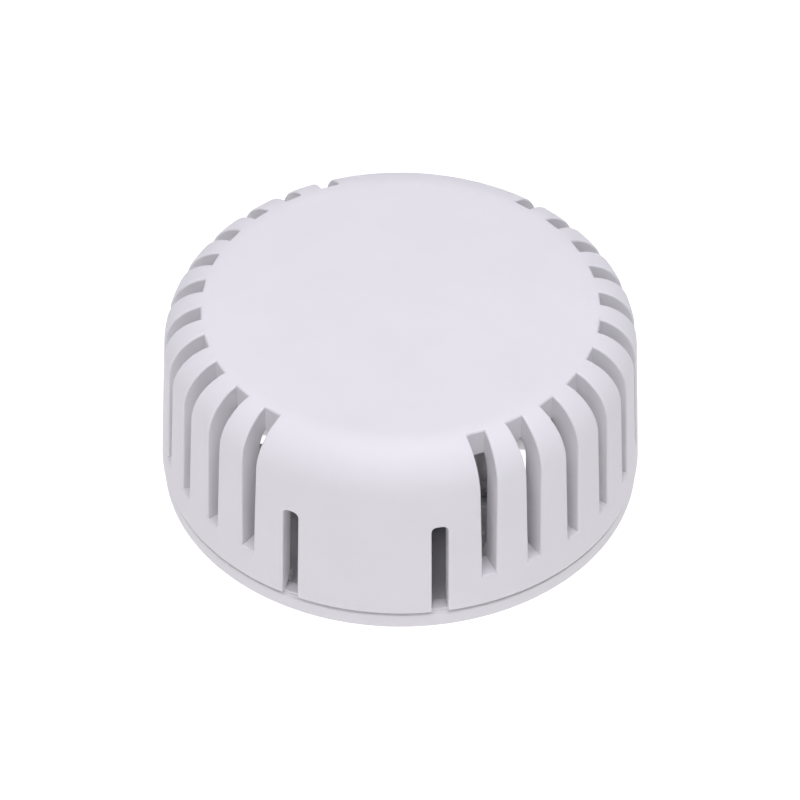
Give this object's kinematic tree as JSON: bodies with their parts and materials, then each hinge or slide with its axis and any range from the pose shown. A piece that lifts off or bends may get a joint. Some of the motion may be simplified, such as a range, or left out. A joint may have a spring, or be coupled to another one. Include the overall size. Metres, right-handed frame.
{
  "type": "alarm siren",
  "caption": "Round surface-mounted indoor alarm siren: a slotted domed cover with a snap tab over a base plate with a piezo sounder, driver board, terminals and tamper switch.",
  "frame": {"origin": "centre of the base plate's back face, on the wall", "axes": "+Z away from the wall, through the cover's flat top; -Y towards the snap tab at the blank front; +X to the right seen from the front"},
  "size_m": [0.1, 0.1, 0.0438],
  "materials": {
    "white_abs": "fine satin spark-eroded moulding",
    "sounder_white": "smooth satin moulding",
    "board_green": "solder mask over glass-fibre board",
    "screw_steel": "zinc plated",
    "brass": "rolled sheet",
    "piezo_silver": "fired silver electrode",
    "silicone": "soft silicone",
    "spring_bronze": "drawn wire",
    "tinned": "tinned",
    "terminal_grey": "moulded polyamide",
    "switch_black": "moulded",
    "spring_steel": "drawn spring wire",
    "ferrite": "sintered ferrite",
    "copper_wire": "enamelled winding",
    "aluminium": "drawn can",
    "sleeve_black": "shrunk sleeve",
    "epoxy_black": "moulded epoxy",
    "jumper_blue": "moulded",
    "ceramic_tan": "sintered ceramic"
  },
  "bodies": {
    "base": {"base_plate": "white_abs", "circuit_board": "board_green", "board_screws": "screw_steel", "sounder_body": "sounder_white", "sounder_cap": "sounder_white", "sounder_seal": "silicone", "sounder_diaphragm": "brass", "piezo_disc": "piezo_silver", "sounder_contacts": "spring_bronze", "sounder_screws": "screw_steel", "terminal_housing": "terminal_grey", "terminal_contacts": "tinned", "tamper_switch_body": "switch_black", "tamper_switch_dome": "spring_steel", "tamper_switch_legs": "tinned", "tamper_spring": "spring_steel", "coil_core": "ferrite", "coil_winding": "copper_wire", "coil_leads": "tinned", "capacitor_can": "aluminium", "capacitor_sleeve": "sleeve_black", "capacitor_leads": "tinned", "driver_transistors": "epoxy_black", "transistor_leads": "tinned", "driver_chip": "epoxy_black", "chip_legs": "tinned", "diode": "epoxy_black", "resistors": "epoxy_black", "small_capacitors": "ceramic_tan", "tone_header": "switch_black", "tone_pins": "brass"},
    "cover": {"cover": "white_abs"},
    "snap_tab": {"cover_snap_tab": "white_abs"},
    "tamper_button": {"tamper_button": "switch_black"},
    "tone_jumper": {"tone_jumper": "jumper_blue"},
    "terminal_screw_1": {"terminal_screw_1": "screw_steel"},
    "terminal_cage_1": {"terminal_cage_1": "brass"},
    "terminal_screw_2": {"terminal_screw_2": "screw_steel"},
    "terminal_cage_2": {"terminal_cage_2": "brass"},
    "terminal_screw_3": {"terminal_screw_3": "screw_steel"},
    "terminal_cage_3": {"terminal_cage_3": "brass"},
    "terminal_screw_4": {"terminal_screw_4": "screw_steel"},
    "terminal_cage_4": {"terminal_cage_4": "brass"}
  },
  "joints": [
    {"name": "cover_lift", "type": "slide", "parent": "base", "child": "cover", "axis": [0, 0, 1], "range_m": [0, 0.07]},
    {"name": "snap_tab_flex", "type": "hinge", "parent": "cover", "child": "snap_tab", "pos_m": [0, -0.0486, 0.02555], "axis": [1, 0, 0], "range_deg": [0, 3], "stiffness_Nm_per_rad": 0.2},
    {"name": "tamper_press", "type": "slide", "parent": "base", "child": "tamper_button", "axis": [0, 0, 1], "range_m": [-0.0003, 0], "stiffness_N_per_m": 300, "deforming": ["tamper_spring"]},
    {"name": "tone_jumper_pull", "type": "slide", "parent": "base", "child": "tone_jumper", "axis": [0, 0, 1], "range_m": [0, 0.008]},
    {"name": "terminal_screw_1_turn", "type": "hinge", "parent": "base", "child": "terminal_screw_1", "pos_m": [-0.0125, 0.0158, 0.015], "axis": [0, 0, 1], "range_deg": [-1440, 0]},
    {"name": "terminal_cage_1_rise", "type": "slide", "parent": "base", "child": "terminal_cage_1", "axis": [0, 0, 1], "range_m": [0, 0.0018]},
    {"name": "terminal_screw_2_turn", "type": "hinge", "parent": "base", "child": "terminal_screw_2", "pos_m": [-0.0125, 0.0208, 0.015], "axis": [0, 0, 1], "range_deg": [-1440, 0]},
    {"name": "terminal_cage_2_rise", "type": "slide", "parent": "base", "child": "terminal_cage_2", "axis": [0, 0, 1], "range_m": [0, 0.0018]},
    {"name": "terminal_screw_3_turn", "type": "hinge", "parent": "base", "child": "terminal_screw_3", "pos_m": [-0.0125, 0.0258, 0.015], "axis": [0, 0, 1], "range_deg": [-1440, 0]},
    {"name": "terminal_cage_3_rise", "type": "slide", "parent": "base", "child": "terminal_cage_3", "axis": [0, 0, 1], "range_m": [0, 0.0018]},
    {"name": "terminal_screw_4_turn", "type": "hinge", "parent": "base", "child": "terminal_screw_4", "pos_m": [-0.0125, 0.0308, 0.015], "axis": [0, 0, 1], "range_deg": [-1440, 0]},
    {"name": "terminal_cage_4_rise", "type": "slide", "parent": "base", "child": "terminal_cage_4", "axis": [0, 0, 1], "range_m": [0, 0.0018]}
  ],
  "couplings": [
    {"joint": "terminal_screw_1_turn", "follows": "terminal_cage_1_rise", "rad_per_m": -13963},
    {"joint": "terminal_screw_2_turn", "follows": "terminal_cage_2_rise", "rad_per_m": -13963},
    {"joint": "terminal_screw_3_turn", "follows": "terminal_cage_3_rise", "rad_per_m": -13963},
    {"joint": "terminal_screw_4_turn", "follows": "terminal_cage_4_rise", "rad_per_m": -13963}
  ]
}
